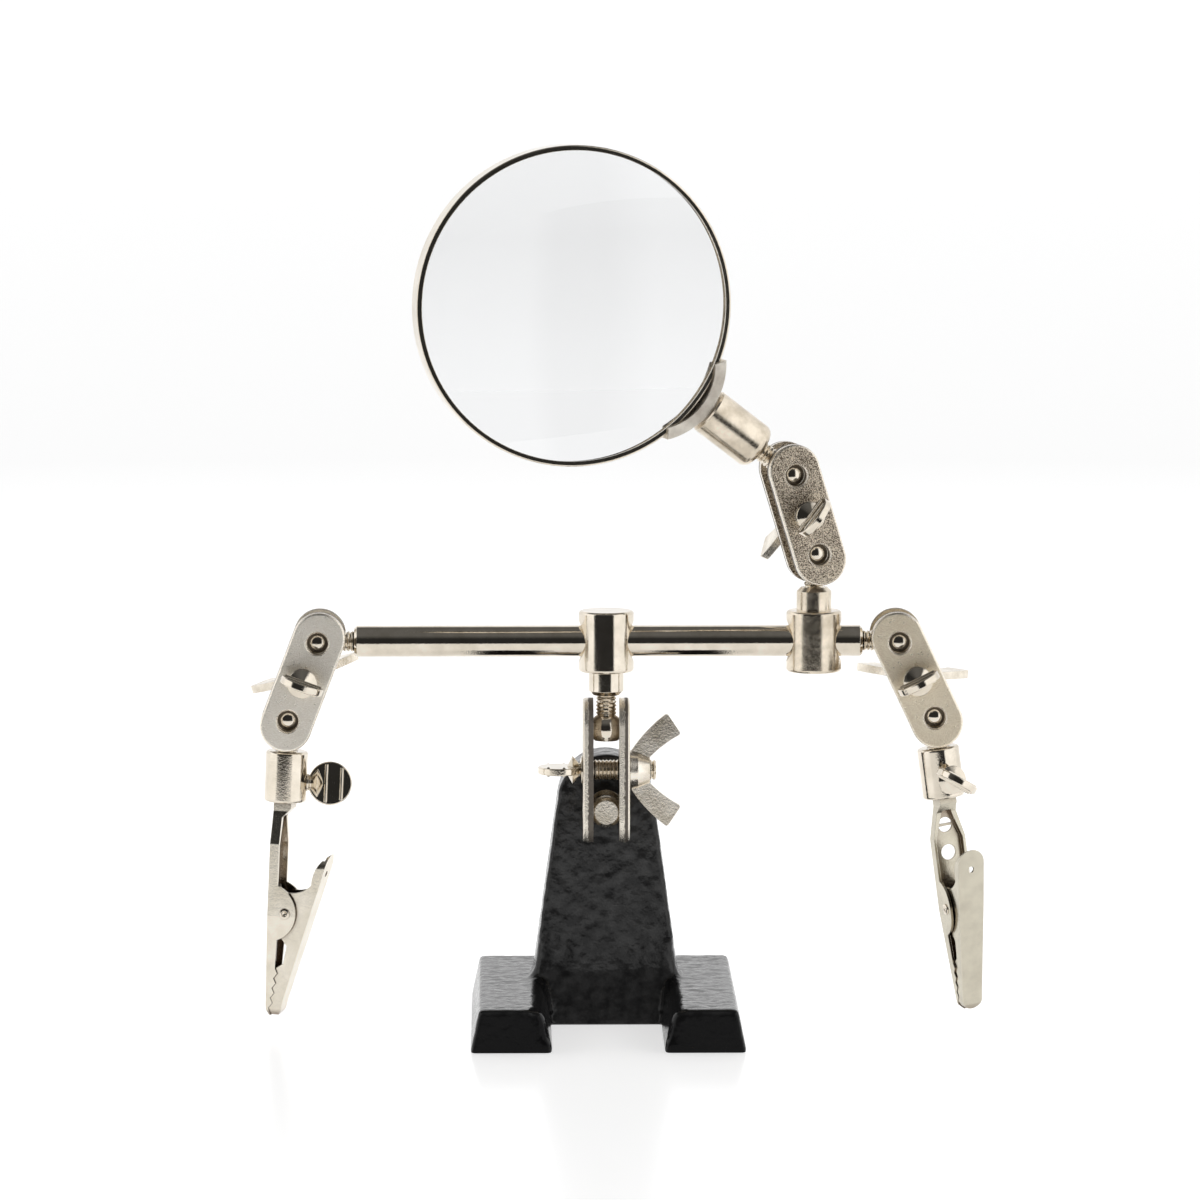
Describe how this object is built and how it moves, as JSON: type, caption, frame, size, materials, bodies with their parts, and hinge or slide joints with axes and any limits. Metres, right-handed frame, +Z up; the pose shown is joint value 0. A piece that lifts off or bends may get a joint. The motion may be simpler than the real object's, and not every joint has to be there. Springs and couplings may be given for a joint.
{
  "type": "helping hands clamp",
  "caption": "Bench third hand: heavy cast base, ball-jointed crossbar with sprung alligator clips on swivel links, and a round magnifier on its own ball-jointed link.",
  "frame": {"origin": "centre of the base's flat underside, on the bench", "axes": "+Z up, +X along the crossbar towards the end that carries the magnifier, -Y towards the user"},
  "size_m": [0.1414, 0.065, 0.1707],
  "materials": {
    "black_enamel": "glossy black enamel on rough casting",
    "satin_nickel": "satin nickel plate on stamped steel",
    "bright_nickel": "bright warm nickel plate",
    "clip_nickel": "nickel plated sheet steel",
    "spring_steel": "bare spring wire",
    "lens_glass": "polished clear glass"
  },
  "bodies": {
    "base": {"base_casting": "black_enamel"},
    "base_stud": {"base_ball_stud": "bright_nickel"},
    "center_clamp": {"center_plate_left": "satin_nickel", "center_plate_right": "satin_nickel", "center_clamp_screw": "bright_nickel"},
    "center_nut": {"center_wing_nut": "bright_nickel"},
    "crossbar_stud": {"crossbar_ball_stud": "bright_nickel"},
    "crossbar_clamp_block": {"crossbar_block": "bright_nickel"},
    "crossbar": {"crossbar_rod": "bright_nickel"},
    "left_end_stud": {"rod_end_ball_stud_left": "bright_nickel"},
    "left_link": {"link_front_plate_left": "satin_nickel", "link_back_plate_left": "satin_nickel", "link_screw_left": "bright_nickel"},
    "left_nut": {"link_wing_nut_left": "bright_nickel"},
    "left_socket": {"clip_ball_stud_left": "bright_nickel", "clip_socket_left": "bright_nickel"},
    "left_thumb": {"clip_thumb_screw_left": "bright_nickel"},
    "left_clip": {"clip_fixed_jaw_left": "clip_nickel", "clip_rivet_left": "bright_nickel", "clip_spring_left": "spring_steel"},
    "left_jaw": {"clip_moving_jaw_left": "clip_nickel"},
    "right_end_stud": {"rod_end_ball_stud_right": "bright_nickel"},
    "right_link": {"link_front_plate_right": "satin_nickel", "link_back_plate_right": "satin_nickel", "link_screw_right": "bright_nickel"},
    "right_nut": {"link_wing_nut_right": "bright_nickel"},
    "right_socket": {"clip_ball_stud_right": "bright_nickel", "clip_socket_right": "bright_nickel"},
    "right_thumb": {"clip_thumb_screw_right": "bright_nickel"},
    "right_clip": {"clip_fixed_jaw_right": "clip_nickel", "clip_rivet_right": "bright_nickel", "clip_spring_right": "spring_steel"},
    "right_jaw": {"clip_moving_jaw_right": "clip_nickel"},
    "magnifier_clamp_block": {"magnifier_block": "bright_nickel"},
    "magnifier_stud": {"magnifier_lower_ball_stud": "bright_nickel"},
    "magnifier_link": {"magnifier_link_front_plate": "satin_nickel", "magnifier_link_back_plate": "satin_nickel", "magnifier_link_screw": "bright_nickel"},
    "magnifier_nut": {"magnifier_link_wing_nut": "bright_nickel"},
    "lens_stud": {"magnifier_upper_ball_stud": "bright_nickel"},
    "magnifier": {"magnifier_ferrule": "bright_nickel", "lens_bracket": "bright_nickel", "lens_rim": "bright_nickel", "lens_glass": "lens_glass"}
  },
  "joints": [
    {"name": "clamp_lean", "type": "hinge", "parent": "base", "child": "base_stud", "pos_m": [0, -0.0024, 0.042], "axis": [0, 1, 0], "range_deg": [-30, 30]},
    {"name": "clamp_tilt", "type": "hinge", "parent": "base_stud", "child": "center_clamp", "pos_m": [0, -0.0024, 0.042], "axis": [1, 0, 0], "range_deg": [-8, 60]},
    {"name": "center_nut_turn", "type": "hinge", "parent": "center_clamp", "child": "center_nut", "pos_m": [0, -0.0024, 0.05], "axis": [1, 0, 0], "range_deg": [-25, 25]},
    {"name": "crossbar_tilt", "type": "hinge", "parent": "center_clamp", "child": "crossbar_stud", "pos_m": [0, -0.0024, 0.058], "axis": [-1, 0, 0], "range_deg": [-60, 60]},
    {"name": "crossbar_turn", "type": "hinge", "parent": "crossbar_stud", "child": "crossbar_clamp_block", "pos_m": [0, -0.0024, 0.075], "axis": [0, 0, 1], "range_deg": [-60, 60]},
    {"name": "crossbar_slide", "type": "slide", "parent": "crossbar_clamp_block", "child": "crossbar", "axis": [1, 0, 0], "range_m": [-0.028, 0.034]},
    {"name": "left_arm_swing", "type": "hinge", "parent": "crossbar", "child": "left_end_stud", "pos_m": [-0.0554, -0.0024, 0.075], "axis": [1, 0, 0], "range_deg": [-120, 120]},
    {"name": "left_arm_tilt", "type": "hinge", "parent": "left_end_stud", "child": "left_link", "pos_m": [-0.0554, -0.0024, 0.075], "axis": [0, 1, 0], "range_deg": [-30, 120]},
    {"name": "left_nut_turn", "type": "hinge", "parent": "left_link", "child": "left_nut", "pos_m": [-0.05825, -0.0024, 0.06753], "axis": [0, 1, 0], "continuous": true},
    {"name": "left_clip_tilt", "type": "hinge", "parent": "left_link", "child": "left_socket", "pos_m": [-0.06111, -0.0024, 0.06005], "axis": [0, -1, 0], "range_deg": [-110, 60]},
    {"name": "left_thumb_turn", "type": "hinge", "parent": "left_socket", "child": "left_thumb", "pos_m": [-0.05759, -0.0024, 0.04769], "axis": [0.999, 0, -0.0436], "continuous": true},
    {"name": "left_clip_turn", "type": "hinge", "parent": "left_socket", "child": "left_clip", "pos_m": [-0.06181, -0.0024, 0.04407], "axis": [-0.0436, 0, -0.999], "continuous": true},
    {"name": "left_jaw_open", "type": "hinge", "parent": "left_clip", "child": "left_jaw", "pos_m": [-0.0611, -0.00284, 0.02262], "axis": [-0.2586, -0.9659, 0.0113], "range_deg": [0, 25], "stiffness_Nm_per_rad": 0.03, "springref_deg": -28.65, "deforming": ["clip_spring_left"]},
    {"name": "right_arm_swing", "type": "hinge", "parent": "crossbar", "child": "right_end_stud", "pos_m": [0.0562, -0.0024, 0.075], "axis": [1, 0, 0], "range_deg": [-120, 120]},
    {"name": "right_arm_tilt", "type": "hinge", "parent": "right_end_stud", "child": "right_link", "pos_m": [0.0562, -0.0024, 0.075], "axis": [0, 1, 0], "range_deg": [-120, 30]},
    {"name": "right_nut_turn", "type": "hinge", "parent": "right_link", "child": "right_nut", "pos_m": [0.05962, -0.0024, 0.06777], "axis": [0, 1, 0], "continuous": true},
    {"name": "right_clip_tilt", "type": "hinge", "parent": "right_link", "child": "right_socket", "pos_m": [0.06304, -0.0024, 0.06053], "axis": [0, -1, 0], "range_deg": [-60, 110]},
    {"name": "right_thumb_turn", "type": "hinge", "parent": "right_socket", "child": "right_thumb", "pos_m": [0.06575, -0.00629, 0.04859], "axis": [0.2776, -0.96, 0.0365], "continuous": true},
    {"name": "right_clip_turn", "type": "hinge", "parent": "right_socket", "child": "right_clip", "pos_m": [0.06513, -0.0024, 0.04467], "axis": [0.1305, 0, -0.9914], "continuous": true},
    {"name": "right_jaw_open", "type": "hinge", "parent": "right_clip", "child": "right_jaw", "pos_m": [0.0685, -0.004, 0.02353], "axis": [-0.9317, -0.342, -0.1227], "range_deg": [0, 25], "stiffness_Nm_per_rad": 0.03, "springref_deg": -28.65, "deforming": ["clip_spring_right"]},
    {"name": "magnifier_swing", "type": "hinge", "parent": "crossbar", "child": "magnifier_clamp_block", "pos_m": [0.0399, -0.0024, 0.075], "axis": [1, 0, 0], "range_deg": [-60, 75]},
    {"name": "magnifier_turn", "type": "hinge", "parent": "magnifier_clamp_block", "child": "magnifier_stud", "pos_m": [0.0399, -0.0024, 0.092], "axis": [0, 0, 1], "range_deg": [-120, 120]},
    {"name": "magnifier_tilt", "type": "hinge", "parent": "magnifier_stud", "child": "magnifier_link", "pos_m": [0.0399, -0.0024, 0.092], "axis": [-0.2079, 0.9781, 0], "range_deg": [-25, 60]},
    {"name": "magnifier_nut_turn", "type": "hinge", "parent": "magnifier_link", "child": "magnifier_nut", "pos_m": [0.03761, -0.00289, 0.09965], "axis": [-0.2079, 0.9781, 0], "continuous": true},
    {"name": "lens_tilt", "type": "hinge", "parent": "magnifier_link", "child": "lens_stud", "pos_m": [0.03532, -0.00337, 0.1073], "axis": [0.2079, -0.9781, 0], "range_deg": [-90, 28]},
    {"name": "lens_turn", "type": "hinge", "parent": "lens_stud", "child": "magnifier", "pos_m": [0.03532, -0.00337, 0.1073], "axis": [-0.776, -0.1649, 0.6088], "continuous": true}
  ]
}
